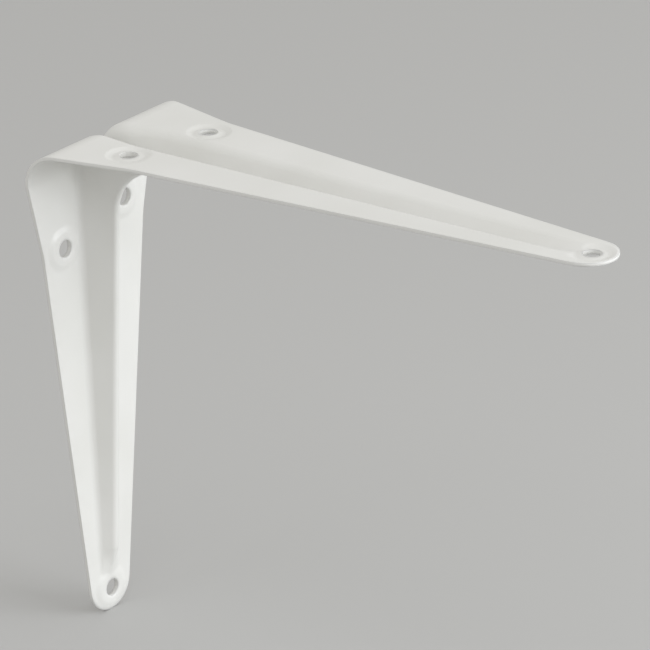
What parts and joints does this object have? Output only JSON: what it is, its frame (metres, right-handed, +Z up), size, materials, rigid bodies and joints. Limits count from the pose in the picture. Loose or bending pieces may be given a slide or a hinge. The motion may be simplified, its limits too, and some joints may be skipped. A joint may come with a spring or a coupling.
{
  "type": "shelf bracket",
  "caption": "Pressed steel shelf bracket with unequal tapering arms, a hollow stiffening rib round the bend and dimpled screw holes.",
  "frame": {"origin": "in the plane of the wall face, midway between the upper pair of wall screws", "axes": "-X into the wall, +Z up against the shelf, +X along the shelf arm away from the wall, Y across the bracket"},
  "size_m": [0.15, 0.0448, 0.125],
  "materials": {
    "white_paint": "satin white stove enamel over pressed steel sheet"
  },
  "bodies": {
    "root": {"shelf_bracket": "white_paint"}
  },
  "joints": []
}
